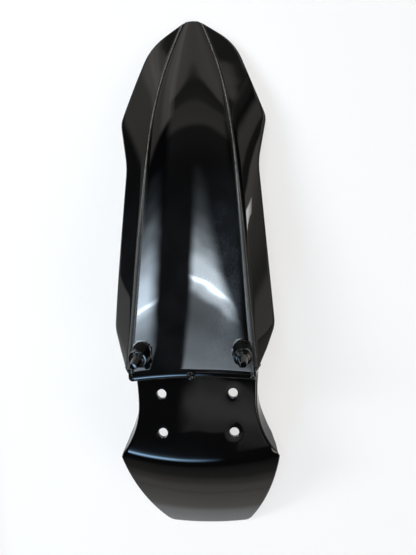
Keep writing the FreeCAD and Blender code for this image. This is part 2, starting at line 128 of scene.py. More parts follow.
# Nub on the rim: place, how far it sinks in, and its turned steps as radius and height
NUB_Y, NUB_SINK, NUB_ROUNDING = 53.6, 0.6, 0.9
NUB_STEPS = ((0, -5.0), (5.4, -5.0), (4.5, 3.2), (2.6, 3.2), (2.0, 1.9), (0, 1.7))

# Light lines along the ridges, partly wear and partly painted highlight on the bead's edges: one on the front
# half, two side by side on the rear half, where the bead is matt; points this near to the skin count as on it
RIDGE_LINE_HALF, RIDGE_LINE_SPLIT_HALF = 0.62, 0.42
RIDGE_LINE_SPLIT, RIDGE_LINE_SPLIT_Y, RIDGE_LINE_SPLIT_RUN, RIDGE_LINE_FADE = 1.75, 320.0, 120.0, 0.45
RIDGE_LINE_START_Y, MATT_HALF = 60.0, 3.0
SKIN_NEAR = 0.4

# Mesh density: columns of the channel, the ridge bead and the wing on one side, the step between rows, rows
# of the lead to the rim, its roll, the wall and the fillet below it, and points of curves in plan
CHANNEL_COLUMNS, BEAD_COLUMNS, WING_COLUMNS = 26, 16, 12
ROW_STEP = 3.6
LEAD_ROWS, ROLL_ROWS, WALL_ROWS, FILLET_ROWS = 9, 8, 10, 6
CORNER_POINTS, ARC_POINTS, NECK_POINTS, FOOT_POINTS, HOLE_EDGE_POINTS = 13, 40, 30, 20, 6

# A turned corner's rounding takes at most one of these parts of either side
ROUNDING_PARTS = 2.2

# Points nearer than this, in metres, are welded, and edges that turn more than this stay sharp
WELD = 0.00001
SHARP = math.radians(38.0)

# The plastic: its black; its haze and scuffs, which a painted sheen of the sky makes lighter and bluer; its
# ridge lines, partly wear and partly painted highlight; the roughness of its gloss and what each mark adds to
# it
BLACK = (0.0014, 0.0014, 0.0016, 1)
# Hazy black: real haze and scuffs, made lighter and bluer by a painted sheen of the sky
HAZE_AND_GLINT_BLACK = (0.030, 0.035, 0.042, 1)
# Colour of the ridge lines: partly wear, partly a painted highlight of the bead's edges
WORN_AND_HIGHLIGHT = (0.17, 0.155, 0.135, 1)
GLOSS = (0.02, 0.04)
HAZE_ROUGH, RIDGE_LINE_ROUGH, MATT_ROUGH = 0.02, 0.2, 0.55

# Where the channel is hazed and a painted sheen lightens it, in metres: it fades to the front, the rear, the
# left and the right ridge
HAZE_AND_GLINT_FRONT, HAZE_AND_GLINT_REAR = (0.16, 0.30), (0.045, 0.07)
HAZE_AND_GLINT_LEFT, HAZE_AND_GLINT_LEFT_SHARE = (0.0, 0.05), 0.12
HAZE_AND_GLINT_RIGHT = (0.050, 0.060)

# Random spots as scale, detail and stretch; each range is what is taken of them and what that becomes
PATCHES, PATCH_RANGE = (30.0, 4.0), (0.35, 0.65, 0.35, 1.0)
SPECKS, SPECK_RANGE = (900.0, 2.0, (1.0, 0.35, 1.0)), (0.30, 0.70, 0.6, 1.3)
BREAKS, BREAK_RANGE = (90.0, 2.0), (0.3, 0.6, 0.55, 1.0)
SHEEN, SHEEN_RANGE = (9.0, 3.0), (0.3, 0.7, *GLOSS)
WAVES, WAVE_HEIGHT = (22.0, 1.0), 0.00026

# Soft lamps: place, size and aim in metres, turn about the upright where they shine straight down, brightness
# as a share of white, and colour; how wide the left edge fades, how far the right edge slants and where that
# fades, and how much both soften to the front; and how the brightness runs along it from back to front
LAMPS = (
    dict(name="window", place=(0.105, 0.65, 1.3), turn=-7.0, size=(0.70, 0.90), radiance=34.0,
         colour=(0.78, 0.90, 1.0), left=0.05, lean=0.55, edge=(0.95, 1.12), soft=0.32,
         along=((0.0, 0.15), (0.14, 0.10), (0.27, 0.055), (0.34, 0.07), (0.39, 0.38), (0.416, 0.5),
                (0.420, 1.3), (0.434, 1.3), (0.438, 0.5), (0.50, 0.47), (0.56, 0.22), (0.61, 0.12),
                (0.67, 0.065), (0.74, 0.024), (0.83, 0.008), (1.0, 0.0))),
    dict(name="left_window", place=(-1.375, 0.83, 1.3), turn=-3.5, size=(1.65, 0.94), radiance=37.0,
         colour=(0.72, 0.86, 1.0), left=0.01, lean=0.30, edge=(0.965, 1.05), soft=0.22,
         along=((0.0, 0.13), (0.13, 0.16), (0.21, 0.27), (0.278, 0.52), (0.282, 1.2), (0.298, 1.2),
                (0.302, 0.55), (0.38, 0.48), (0.49, 0.26), (0.60, 0.10), (0.74, 0.02),
                (0.85, 0.007), (1.0, 0.0))),
    dict(name="blue_sky", place=(-0.46, -1.125, 1.3), size=(0.78, 1.35), radiance=15.0,
         colour=(0.41, 0.68, 1.0), left=0.05, edge=(0.42, 1.0),
         along=((0.0, 0.0), (0.15, 0.18), (0.37, 0.6), (0.48, 1.0), (0.556, 0.8), (0.63, 0.3), (0.70, 0.17),
                (0.78, 0.08), (0.86, 0.03), (1.0, 0.0))),
    dict(name="plate_glow", place=(0.0, -0.42, 1.3), turn=-14.0, size=(0.54, 0.27), radiance=0.55,
         colour=(1.0, 1.0, 1.0), left=0.12, lean=-0.35, edge=(0.3, 0.95),
         along=((0.0, 0.0), (0.3, 0.5), (0.6, 1.0), (0.85, 0.6), (1.0, 0.0))),
    dict(name="side_spark", place=(1.30, 0.86, 0.715), aim=(0.07, 0.22, 0.0), size=(0.07, 0.09),
         radiance=10.0, colour=(1.0, 1.0, 0.98), left=0.1, edge=(0.8, 1.0), along=((0.0, 0.4), (0.6, 1.0))),
    dict(name="left_fill", place=(-2.0, 0.60, 1.5), aim=(0.0, 0.15, 0.0), size=(0.90, 0.90), radiance=8.5,
         colour=(1.0, 0.93, 0.84), left=0.2, edge=(0.8, 1.0),
         along=((0.0, 0.4), (0.2, 1.0), (0.8, 1.0), (1.0, 0.4))),
    dict(name="right_fill", place=(1.45, -1.0, 1.25), aim=(0.0, 0.10, 0.0), size=(1.60, 1.60), radiance=4.0,
         colour=(1.0, 0.91, 0.80), left=0.2, edge=(0.8, 1.0),
         along=((0.0, 0.2), (0.3, 1.0), (0.7, 1.0), (1.0, 0.2))),
)

# The room's brightness in a half turn from the horizon ahead (0) over the top (0.5) to the horizon behind (1)
WORLD_ROUND = ((0.0, 0.55), (0.08, 0.60), (0.13, 0.80), (0.153, 0.74), (0.162, 0.16), (0.185, 0.20),
               (0.20, 0.44), (0.24, 0.50), (0.26, 0.12), (0.34, 0.05), (0.90, 0.02), (0.95, 0.16),
               (0.97, 0.34), (0.99, 0.55))
# How far that reaches to the left (0) and the right (1)
WORLD_REACH = ((0.24, 0.0), (0.30, 1.0), (0.69, 1.0), (0.74, 0.0))
# The walls beside it, from the left (0) to the right (1), where they end upward and backward, and their tint
WORLD_SIDES = ((0.07, 0.04), (0.09, 0.48), (0.17, 0.52), (0.20, 0.55), (0.235, 0.95), (0.265, 0.95),
               (0.285, 0.45), (0.31, 0.0), (0.70, 0.0), (0.72, 0.20), (0.75, 0.14), (0.78, 0.05),
               (0.82, 0.60), (0.85, 0.55), (0.86, 0.11), (0.875, 0.11), (0.88, 0.95), (0.92, 0.50),
               (0.97, 0.27), (0.985, 0.65))
WORLD_SIDES_TOP, WORLD_SIDES_BACK = (0.50, 0.56), (-0.45, -0.25)
WORLD_TINT = (1.0, 0.96, 0.90, 1)

# The floor in metres: its size, its gap below the part, the middle and half size of its white area and how
# far that takes to fade, and where its rear begins, counted from that middle
FLOOR_SIZE, FLOOR_GAP = 6.0, 0.0003
PAPER_MIDDLE, PAPER_HALF, PAPER_FADE = (0.015, 0.155), (0.275, 0.365), (0.11, 0.08)
FLOOR_REAR_Y = (-0.42, -0.30)
# The share of white that is seen in the white area, at the rear and further out, and the floor's own colours
PAPER_WHITE, FLOOR_REAR, FLOOR_FAR, FLOOR_GREY = 0.62, 0.38, 0.12, 0.35
PAPER = (0.96, 0.91, 0.875, 1)
FLOOR_TINT = (1.0, 0.94, 0.84, 1)
WHITE = (1, 1, 1, 1)
FLOOR_ROUGH = 0.9

# The photograph's camera: the picture's size, focal length and middle in pixels, the sensor and the place in
# millimetres, the turns in degrees, and the nearest distance seen in metres
IMAGE_WIDTH, IMAGE_HEIGHT = 416, 555
FOCAL_PIXELS, CENTRE_PIXEL = 600.0, (230.1, 255.5)
SENSOR = 36.0
CAMERA_PLACE = (100.4, 203.6, 687.6)
CAMERA_TURNS = (("Z", 1.89), ("Y", -4.61), ("X", 1.8))
CAMERA_NEAREST = 0.01


def natural_spline(knots, values):
    """The smooth curve through these values, straight at both ends."""
    knots, values = np.array(knots), np.array(values)
    gaps = np.diff(knots)
    count = len(knots)
    system, slopes = np.eye(count), np.zeros(count)
    for i in range(1, count - 1):
        system[i, i - 1:i + 2] = gaps[i - 1], 2 * (gaps[i - 1] + gaps[i]), gaps[i]
        slopes[i] = 6 * ((values[i + 1] - values[i]) / gaps[i] - (values[i] - values[i - 1]) / gaps[i - 1])
    bends = np.linalg.solve(system, slopes)

    def curve(at):
        at = np.clip(at, knots[0], knots[-1])
        i = np.clip(np.searchsorted(knots, at) - 1, 0, count - 2)
        gap, before, after = gaps[i], at - knots[i], knots[i + 1] - at
        cubic = (bends[i] * after ** 3 + bends[i + 1] * before ** 3) / (6 * gap)
        start = (values[i] / gap - bends[i] * gap / 6) * after
        end = (values[i + 1] / gap - bends[i + 1] * gap / 6) * before
        return cubic + start + end
    return curve


ridge_x = natural_spline(STATION_Y, RIDGE_X)
ridge_z = natural_spline(STATION_Y, RIDGE_Z)
crown = natural_spline(STATION_Y, CROWN)
wing_angle = natural_spline(STATION_Y, WING_ANGLE)


def skin(x, y, soft=RIDGE_SOFT, bead=BEAD_RISE):
    """Height of the front shell's outer face over points of the plan."""
    across = np.abs(x)
    half = ridge_x(y) - BEAD_HALF
    radius = (half ** 2 + crown(y) ** 2) / (2 * crown(y))
    channel = np.sqrt(radius ** 2 - np.minimum(across, half) ** 2) - radius + crown(y)
    past = across - half - 2 * BEAD_HALF
    ramp = np.where(past < -soft, 0.0, np.where(past < soft, (past + soft) ** 2 / (4 * soft), past))
    from_ridge = np.minimum(np.abs(across - ridge_x(y)) / BEAD_HALF, 1.0)
    bump = bead * (1 + np.cos(np.pi * from_ridge)) / 2
    fall = ramp * np.tan(np.radians(wing_angle(y))) + WING_BULGE * ramp * (ramp - WING_MIDDLE)
    return ridge_z(y) - BEAD_RISE + channel - fall + bump


def rounded_corner(before, corner, after, reach):
    """Points of a smooth turn that leaves the two sides this far from their corner."""
    start = corner + (before - corner) / np.linalg.norm(before - corner) * reach
    end = corner + (after - corner) / np.linalg.norm(after - corner) * reach
    share = np.linspace(0, 1, CORNER_POINTS)[:, None]
    return (1 - share) ** 2 * start + 2 * share * (1 - share) * corner + share ** 2 * end


def resample(line, step):
    """Points along a line about this far apart."""
    lengths = np.concatenate(([0.0], np.cumsum(np.linalg.norm(np.diff(line, axis=0), axis=1))))
    wanted = np.linspace(0, lengths[-1], int(lengths[-1] / step) + 2)
    return np.stack([np.interp(wanted, lengths, line[:, axis]) for axis in range(2)], axis=1)


def inward(line, distance):
    """The line moved to its left, which is into the part for the outlines below."""
    along = np.gradient(line, axis=0)
    left = np.stack([-along[:, 1], along[:, 0]], axis=1)
    return line + distance * left / np.linalg.norm(left, axis=1)[:, None]


def rim_back(x):
    """Plan of the rear rim, which bows forward in its middle."""
    return RIM_Y + RIM_BOW * (1 - (x / RIM_X) ** 2)


def front_edge():
    """The right half of the front shell's edge, from the rear rim's corner to the tip."""
    corners = [np.array(corner[:2]) for corner in FRONT_CORNERS]
    corners = [np.array(WING_START)] + corners + [corners[-2] * (-1, 1)]
    line = [corners[0] + (corners[1] - corners[0]) * WING_START_SHARE]
    for (_, _, radius), before, corner, after in zip(FRONT_CORNERS, corners, corners[1:], corners[2:]):
        one = (before - corner) / np.linalg.norm(before - corner)
        two = (after - corner) / np.linalg.norm(after - corner)
        half_angle = math.acos(np.clip(one @ two, -1, 1)) / 2
        line += list(rounded_corner(before, corner, after, radius / math.tan(half_angle)))
    line = np.array(line)
    return resample(inward(line[line[:, 0] > -0.01], LIP_INSET), ROW_STEP)


def arc_points(start, end, radius):
    """Points of the arc between two points that bulges to the right of its direction."""
    chord = end - start
    half = np.linalg.norm(chord) / 2
    right = np.array((chord[1], -chord[0])) / (2 * half)
    centre = (start + end) / 2 - right * math.sqrt(radius ** 2 - half ** 2)
    first = math.atan2(*(start - centre)[::-1])
    turn = 2 * math.asin(half / radius)
    angles = first + np.linspace(0, turn, ARC_POINTS)
    return centre + radius * np.stack([np.cos(angles), np.sin(angles)], axis=1)


def neck_side(x, y):
    """The neck's side between its waist and this point, an arc that runs fore and aft at the waist."""
    dx, dy = x - NECK_X, y - NECK_Y
    radius = (dx ** 2 + dy ** 2) / (2 * dx)
    run = np.linspace(0, 1, NECK_POINTS) * dy
    return np.stack([NECK_X + radius - np.sqrt(radius ** 2 - run ** 2), NECK_Y + run], axis=1)


def rear_edge():
    """The right half of the plate's and the flap's edge, from the step to the middle of the foot."""
    foot_r = CREST_CENTRE_Y - FLAP_END_Y
    foot_angle = math.asin(FLAP_END_X / foot_r)
    foot = np.linspace(foot_angle, 0, FOOT_POINTS)
    foot = np.stack([foot_r * np.sin(foot), CREST_CENTRE_Y - foot_r * np.cos(foot)], axis=1)
    corner = np.array((FLAP_X, FLAP_Y))
    side = arc_points(foot[0], corner, FLAP_SIDE_R)[::-1]
    neck = np.concatenate([neck_side(RIM_X, RIM_Y)[::-1], neck_side(FLAP_X, FLAP_Y)[1:]])
    short = np.linalg.norm(neck - corner, axis=1) > FLAP_CORNER
    turn = rounded_corner(neck[-2], corner, side[1], FLAP_CORNER)
    clear = np.linalg.norm(side - corner, axis=1) > FLAP_CORNER
    clear &= np.linalg.norm(side - foot[0], axis=1) > FLAP_END_CORNER
    end_turn = rounded_corner(side[-2], foot[0], foot[1], FLAP_END_CORNER)
    foot = foot[np.linalg.norm(foot - foot[0], axis=1) > FLAP_END_CORNER]
    line = np.concatenate([neck[short], turn, side[clear], end_turn, foot])
    line = resample(line[line[:, 1] < RIM_Y - STEP_FILLET_R], ROW_STEP)
    from_crest_centre = np.hypot(line[:, 0], CREST_CENTRE_Y - line[:, 1])
    return line[:np.argmax(from_crest_centre > foot_r - LIP) + 1]


def flap_profile(run):
    """Height of the plate, its bend and the flap, this far behind the start of the bend."""
    bend_end = BEND_R * math.sin(FLAP_ANGLE)
    centre_run = (BEND_R - FLAP_R) * math.sin(FLAP_ANGLE)
    centre_z = (BEND_R - FLAP_R) * math.cos(FLAP_ANGLE) - BEND_R
    bend = np.sqrt(BEND_R ** 2 - np.clip(run, 0, bend_end) ** 2) - BEND_R
    flap = centre_z + np.sqrt(FLAP_R ** 2 - (run - centre_run) ** 2)
    return np.where(run < bend_end, bend, flap)


channel_share = np.linspace(0, 1, CHANNEL_COLUMNS + 1)
bead_share = np.linspace(0, 1, BEAD_COLUMNS + 1)[1:]
wing_share = np.linspace(0, 1, WING_COLUMNS + 1)[1:]
COLUMNS = CHANNEL_COLUMNS + BEAD_COLUMNS + WING_COLUMNS + 1


def front_row_plan(edge_x, y):
    """Where a cross-section's columns lie in plan."""
    half = ridge_x(y) - BEAD_HALF
    bead_end = half + 2 * BEAD_HALF
    x = np.concatenate([channel_share * min(half, edge_x), half + bead_share * 2 * BEAD_HALF,
                        bead_end + wing_share * (edge_x - bead_end)])
    return np.stack([np.minimum(x, edge_x), np.full(COLUMNS, y)], axis=1)


def rim_plan():
    """Where the columns meet the rear rim in plan, and the way that the rim faces there."""
    straight_x = RIM_CORNER_X - RIM_CORNER_R
    turn = bead_share * RIM_CORNER_TURN
    corner_x = straight_x + RIM_CORNER_R * np.sin(turn)
    corner_y = rim_back(straight_x) + RIM_CORNER_R * (1 - np.cos(turn))
    wing_x = corner_x[-1] + wing_share * (WING_END[0] - corner_x[-1])
    forward = np.minimum(1.0, WING_END_FIRST + wing_share * WING_END_REST)
    wing_y = corner_y[-1] + (WING_END[1] - corner_y[-1]) * forward
    opening = np.clip(wing_share / WING_END_OPENING, 0, 1)
    wing_turn = RIM_CORNER_TURN + (WING_END_TURN - RIM_CORNER_TURN) * opening ** 2 * (3 - 2 * opening)
    x = np.concatenate([channel_share * straight_x, corner_x, wing_x])
    y = np.concatenate([rim_back(channel_share * straight_x), corner_y, wing_y])
    turn = np.concatenate([np.zeros(CHANNEL_COLUMNS + 1), turn, wing_turn])
    return np.stack([x, y], axis=1), np.stack([np.sin(turn), -np.cos(turn)], axis=1)


def with_height(plan, z):
    """Points of the plan lifted to a height."""
    return np.column_stack([plan, np.broadcast_to(z, len(plan))])


def front_rows(soft, bead):
    """Rows of the shell from the tip back to the foot of the step."""
    rows = []
    edge = front_edge()[::-1]
    for edge_x, y in edge:
        if y > ROLL_LEAD_Y:
            plan = front_row_plan(max(edge_x, 0.0), y)
            rows.append(with_height(plan, skin(plan[:, 0], plan[:, 1], soft, bead)))
    lead = rows[-1][:, :2]

    place, facing = rim_plan()
    corner_share = np.concatenate([np.zeros(CHANNEL_COLUMNS + 1), bead_share, np.ones(WING_COLUMNS)])
    roll_r = ROLL_R + (ROLL_EDGE_R - ROLL_R) * corner_share
    edge_way = (roll_r - ROLL_EDGE_R) * math.sin(ROLL_TURN)
    centre = place - facing * (ROLL_EDGE_R + edge_way)[:, None]
    top = skin(centre[:, 0], centre[:, 1], soft, bead)
    # The slope over one millimetre
    ahead = centre + facing * 0.5
    behind = centre - facing * 0.5
    slope = skin(ahead[:, 0], ahead[:, 1], soft, bead) - skin(behind[:, 0], behind[:, 1], soft, bead)
    tilt = np.arctan(slope)
    centre_z = top - roll_r / np.cos(tilt)
    edge_z = centre_z + (roll_r - ROLL_EDGE_R) * math.cos(ROLL_TURN)

    def roll_row(angle):
        plan = centre + facing * (roll_r * np.sin(angle))[:, None]
        return with_height(plan, centre_z + roll_r * np.cos(angle))

    def edge_row(angle):
        plan = centre + facing * (edge_way + ROLL_EDGE_R * math.sin(angle))[:, None]
        return with_height(plan, edge_z + ROLL_EDGE_R * math.cos(angle))

    start = roll_row(-tilt)
    for share in np.linspace(0, 1, LEAD_ROWS)[1:-1]:
        plan = lead + (start[:, :2] - lead) * share
        rows.append(with_height(plan, skin(plan[:, 0], plan[:, 1], soft, bead)))
    rows += [roll_row(-tilt + (ROLL_TURN + tilt) * share) for share in np.linspace(0, 1, ROLL_ROWS)]
    rows += [edge_row(angle) for angle in np.linspace(ROLL_TURN, math.pi / 2, ROLL_ROWS)[1:]]

    wings = slice(CHANNEL_COLUMNS + 1 + BEAD_COLUMNS, None)
    corner = place[wings.start - 1]
    cheek = corner + wing_share[:, None] * CHEEK_WAY
    for share in np.linspace(0, 1, WALL_ROWS)[1:]:
        row = with_height(place, edge_z + (STEP_FILLET_R - edge_z) * share)
        # The wings' ends are drawn in to the cheeks over the upper half of the wall
        row[wings, :2] = place[wings] + (cheek - place[wings]) * min(1.0, share * 2)
        rows.append(row)
    return rows


def dished(x, y):
    """How deep the plate sinks around the bolt holes."""
    away = np.hypot(np.abs(x) - HOLE_X, np.abs(y) - HOLE_Y)
    return DISH_DEPTH * (1 + np.cos(np.pi * np.minimum(away / DISH_R, 1.0))) / 2


def rear_row(edge_x, edge_y):
    """A row of the plate or the flap, from the middle out over its edge and down its flange."""
    edge_r = math.hypot(edge_x, CREST_CENTRE_Y - edge_y)
    bend_start = CREST_CENTRE_Y - BEND_Y
    share = np.interp(edge_y, FLANGE_Y, FLANGE_SHARE)
    flare = np.interp(edge_y, FLANGE_Y, FLANGE_FLARE)
    turned_over = min(1.0, share * EDGE_TURN_GAIN)
    turn = max(EDGE_TURN * turned_over, EDGE_LEAST_TURN)
    edge_x = edge_x - LIP_INSET * (1 - turned_over)
    bend_r = EDGE_LENGTH / turn
    side_x = max(edge_x - bend_r * math.sin(turn), 0.0)
    depth = (FLANGE_DEPTH - bend_r - LIP) * share

    bead_x = side_x + bend_r * np.sin(bead_share * turn)
    bead_drop = bend_r * (1 - np.cos(bead_share * turn))
    x = np.concatenate([channel_share * side_x, bead_x, bead_x[-1] + wing_share * flare * share])
    drop = np.concatenate([np.zeros(CHANNEL_COLUMNS + 1), bead_drop, bead_drop[-1] + wing_share * depth])
    x = np.minimum(x, np.maximum(edge_x, 0.0) + flare * share)

    if edge_r < bend_start:
        step_y = rim_back(np.minimum(x, RIM_X)) - STEP_FILLET_R
        bend_y = CREST_CENTRE_Y - np.sqrt(bend_start ** 2 - x ** 2)
        end_y = CREST_CENTRE_Y - math.sqrt(bend_start ** 2 - edge_x ** 2)
        along = (RIM_Y - STEP_FILLET_R - edge_y) / (RIM_Y - STEP_FILLET_R - end_y)
        y = step_y + (bend_y - step_y) * along
        z = -dished(x, y)
    else:
        edge_r = min(edge_r, CREST_CENTRE_Y - FLAP_END_Y - LIP)
        y = CREST_CENTRE_Y - np.sqrt(edge_r ** 2 - x ** 2)
        z = np.full(COLUMNS, float(flap_profile(np.array(edge_r - bend_start))))
    return np.column_stack([x, y, z - drop])


def half_sheet(soft, bead):
    """Rows of the right half of the sheet, from the tip to the flap's foot."""
    rows = front_rows(soft, bead)
    rear = [rear_row(x, y) for x, y in rear_edge()]
    wall_foot, plate_start = rows[-1], rear[0]
    for angle in np.linspace(0, np.pi / 2, FILLET_ROWS)[1:-1]:
        share = angle / (np.pi / 2)
        row = wall_foot + (plate_start - wall_foot) * share
        main = slice(0, CHANNEL_COLUMNS + 1)
        row[main, 1] = wall_foot[main, 1] - STEP_FILLET_R * (1 - math.cos(angle))
        row[main, 2] = STEP_FILLET_R * (1 - math.sin(angle))
        rows.append(row)
    return np.array(rows + rear)


def whole_sheet(soft, bead):
    """Both halves of the sheet as one grid of points."""
    right = half_sheet(soft, bead)
    left = right[:, :0:-1] * (-1, 1, 1)
    return np.concatenate([left, right], axis=1)


def face_normals_at_points(points, faces):
    """Smooth normals at the points of a mesh of quads."""
    corners = points[faces]
    across = np.cross(corners[:, 2] - corners[:, 0], corners[:, 3] - corners[:, 1])
    normals = np.zeros_like(points)
    for corner in range(4):
        np.add.at(normals, faces[:, corner], across)
    return normals / np.maximum(np.linalg.norm(normals, axis=1), 1e-9)[:, None]


def boundary_loop(faces):
    """The points around the sheet's free edge, in order."""
    following = {}
    edges = set()
    for face in faces:
        ring = [point for i, point in enumerate(face) if point != face[i - 1]]
        edges.update((ring[i - 1], ring[i]) for i in range(len(ring)))
    for start, end in edges:
        if (end, start) not in edges:
            following[start] = end
    loop = [next(iter(following))]
    while following[loop[-1]] != loop[0]:
        loop.append(following[loop[-1]])
    return loop


def shell_mesh():
    """The sheet thickened inward, with a rounded edge all round."""
    outer = whole_sheet(RIDGE_SOFT, BEAD_RISE)
    base = whole_sheet(INNER_RIDGE_SOFT, 0.0)
    rows, columns = outer.shape[:2]
    _, first, same = np.unique(np.round(outer.reshape(-1, 3), 3), axis=0, return_index=True,
                               return_inverse=True)
    same = same.reshape(rows, columns)
    faces = np.stack([same[:-1, :-1], same[:-1, 1:], same[1:, 1:], same[1:, :-1]], axis=-1).reshape(-1, 4)
    faces = np.array([face for face in faces if len(set(face)) > 2])
    outer = outer.reshape(-1, 3)[first]
    base = base.reshape(-1, 3)[first]
    normals = face_normals_at_points(base, faces)
    if normals[:, 2].mean() < 0:
        faces = faces[:, ::-1]
        normals = -normals
    inner = base - normals * WALL

    loop = np.array(boundary_loop(faces))
    along = np.roll(outer[loop], -1, axis=0) - np.roll(outer[loop], 1, axis=0)
    out = np.cross(along, normals[loop])
    out /= np.maximum(np.linalg.norm(out, axis=1), 1e-9)[:, None]
    middle = (outer[loop] + inner[loop]) / 2
    half = (outer[loop] - inner[loop]) / 2
    count = len(outer)
    points = [outer, inner]
    rings = [loop]
    for step in range(1, LIP_STEPS):
        angle = math.pi * step / LIP_STEPS
        points.append(middle + half * math.cos(angle) + out * LIP * math.sin(angle))
        rings.append(2 * count + (step - 1) * len(loop) + np.arange(len(loop)))
    rings.append(loop + count)
    polygons = [list(dict.fromkeys(face)) for face in faces]
    polygons += [[point + count for point in reversed(face)] for face in polygons]
    for one, two in zip(rings, rings[1:]):
        polygons += [[a, b, c, d] for a, b, c, d in zip(np.roll(one, -1), one, two, np.roll(two, -1))]
    return np.concatenate(points), polygons


def new_mesh_object(name, points, polygons):
    """An object in the scene from points in millimetres."""
    mesh = bpy.data.meshes.new(name)
    mesh.from_pydata((np.asarray(points) * MM).tolist(), [], [[int(i) for i in face] for face in polygons])
    mesh.validate()
    mesh.update()
    piece = bpy.data.objects.new(name, mesh)
    bpy.context.scene.collection.objects.link(piece)
    return piece


def turned(profile, segments=64):
    """Points and polygons of a closed turned form; the profile runs from axis to axis."""
    points, polygons = [], []
    angles = np.linspace(0, 2 * np.pi, segments, endpoint=False)
    rings = []
    for radius, z in profile:
        if radius < 1e-6:
            rings.append([len(points)])
            points.append((0.0, 0.0, z))
        else:
            rings.append(list(range(len(points), len(points) + segments)))
            points += [(radius * math.cos(a), radius * math.sin(a), z) for a in angles]
    for low, high in zip(rings, rings[1:]):
        for i in range(segments):
            j = (i + 1) % segments
            face = [low[i % len(low)], low[j % len(low)], high[j % len(high)], high[i % len(high)]]
            polygons.append(list(dict.fromkeys(face)))
    return np.array(points), polygons


def merged(forms):
    """Several forms as one set of points and polygons."""
    points, polygons, count = [], [], 0
    for form_points, form_polygons in forms:
        points.append(form_points)
        polygons += [[i + count for i in face] for face in form_polygons]
        count += len(form_points)
    return np.concatenate(points), polygons


def rounded_steps(steps, radius=0.7, segments=4):
    """A turned profile through these corners, with each outer corner rounded."""
    profile = [steps[0]]
    for before, corner, after in zip(steps, steps[1:], steps[2:]):
        before, corner, after = (np.array(point, dtype=float) for point in (before, corner, after))
        sides = [np.linalg.norm(point - corner) for point in (before, after)]
        reach = min(radius, min(sides) / ROUNDING_PARTS)
        start = corner + (before - corner) / np.linalg.norm(before - corner) * reach
        end = corner + (after - corner) / np.linalg.norm(after - corner) * reach
        for share in np.linspace(0, 1, segments + 1):
            point = (1 - share) ** 2 * start + 2 * share * (1 - share) * corner + share ** 2 * end
            profile.append(tuple(point))
    return profile + [steps[-1]]


def placed(form, place, turn=None):
    """The form turned and then moved to its place."""
    points, polygons = form
    if turn is not None:
        points = points @ np.array(turn).T
    return points + np.array(place), polygons


def peg_turn(side):
    """How the peg on this side, -1 or 1, leans."""
    lean_out = Matrix.Rotation(side * PEG_LEAN_OUT, 3, "Y")
    lean_back = Matrix.Rotation(PEG_LEAN_BACK, 3, "X")
    return lean_out @ lean_back


def peg_seat(side):
    """Where its axis meets the skin."""
    return np.array((side * PEG_X, PEG_Y, float(skin(np.array(PEG_X), np.array(PEG_Y)))))


def peg_form(side, segments=64):
    """A stepped peg in place, with a fillet all round where it grows out of the channel."""
    turn, seat = np.array(peg_turn(side)), peg_seat(side)
    rings = [[] for _ in range(SKIRT_RINGS)]
    for angle in np.linspace(0, 2 * np.pi, segments, endpoint=False):
        spoke = np.array((math.cos(angle), math.sin(angle), 0.0))
        low, high = -SEAT_REACH, SEAT_REACH
        for _ in range(SEAT_HALVINGS):
            middle = (low + high) / 2
            x, y, z = seat + turn @ (spoke * PEG_BASE_R + (0, 0, middle))
            low, high = (middle, high) if z < skin(np.array(x), np.array(y)) else (low, middle)
        joint = seat + turn @ (spoke * PEG_BASE_R + (0, 0, low))
        top = seat + turn @ (spoke * PEG_BASE_R + (0, 0, low + PEG_FILLET))
        foot = joint + (turn @ spoke) * PEG_FILLET
        foot[2] = skin(np.array(foot[0]), np.array(foot[1])) - SKIRT_UNDER
        rings[0].append(foot - (0, 0, SKIRT_DEPTH))
        for ring, share in zip(rings[1:], np.linspace(0, 1, SKIRT_RINGS - 1)):
            ring.append((1 - share) ** 2 * foot + 2 * share * (1 - share) * joint + share ** 2 * top)
    points, polygons = turned([(0, 0.0)] + rounded_steps(PEG_STEPS), segments)
    points = points @ turn.T + seat
    skirt = np.concatenate([np.array(ring) for ring in rings])
    bottom = seat - (0, 0, SKIRT_MIDDLE)
    points = np.concatenate([points[1:], skirt, bottom[None]])
    polygons = [[i - 1 for i in face] for face in polygons if 0 not in face]
    base = len(points) - 1 - len(skirt)
    starts = [base + segments * i for i in range(SKIRT_RINGS)] + [0]
    for i in range(segments):
        j = (i + 1) % segments
        polygons.append([len(points) - 1, base + j, base + i])
        polygons += [[one + i, one + j, two + j, two + i] for one, two in zip(starts, starts[1:])]
    return points, polygons


def raised_forms():
    """Pegs, nub and bosses, which grow out of the shell."""
    nub_z = float(skin(np.array(0.0), np.array(NUB_Y))) - NUB_SINK
    nub = turned(rounded_steps(NUB_STEPS, NUB_ROUNDING), segments=40)
    boss_bottom = -WALL - BOSS_HEIGHT
    boss = turned([(0, boss_bottom), (BOSS_R, boss_bottom), (BOSS_R + BOSS_DRAFT, BOSS_TOP), (0, BOSS_TOP)])
    forms = [peg_form(side) for side in (-1, 1)]
    forms.append(placed(nub, (0, NUB_Y, nub_z)))
    forms += [placed(boss, (x, y, 0)) for x in (-HOLE_X, HOLE_X) for y in (-HOLE_Y, HOLE_Y)]
    return merged(forms)


def sunk_forms():
    """Bolt holes with rounded edges, and the cores under the pegs."""
    profile = [(0, HOLE_TOP), (HOLE_R + HOLE_EDGE + HOLE_TOP_MARGIN, HOLE_TOP)]
    for angle in np.linspace(0, math.pi / 2, HOLE_EDGE_POINTS):
        radius = HOLE_R + HOLE_EDGE * (1 - math.sin(angle))
        profile.append((radius, -DISH_DEPTH - HOLE_EDGE * (1 - math.cos(angle))))
    profile += [(HOLE_R, HOLE_BOTTOM), (0, HOLE_BOTTOM)]
    hole = turned(profile)
    hole = (hole[0], [face[::-1] for face in hole[1]])
    core = turned([(0, CORE_BOTTOM), (CORE_R, CORE_BOTTOM), (CORE_R, CORE_TOP), (0, CORE_TOP)], segments=48)
    forms = [placed(hole, (x, y, 0)) for x in (-HOLE_X, HOLE_X) for y in (-HOLE_Y, HOLE_Y)]
    forms += [placed(core, peg_seat(side), peg_turn(side)) for side in (-1, 1)]
    return merged(forms)


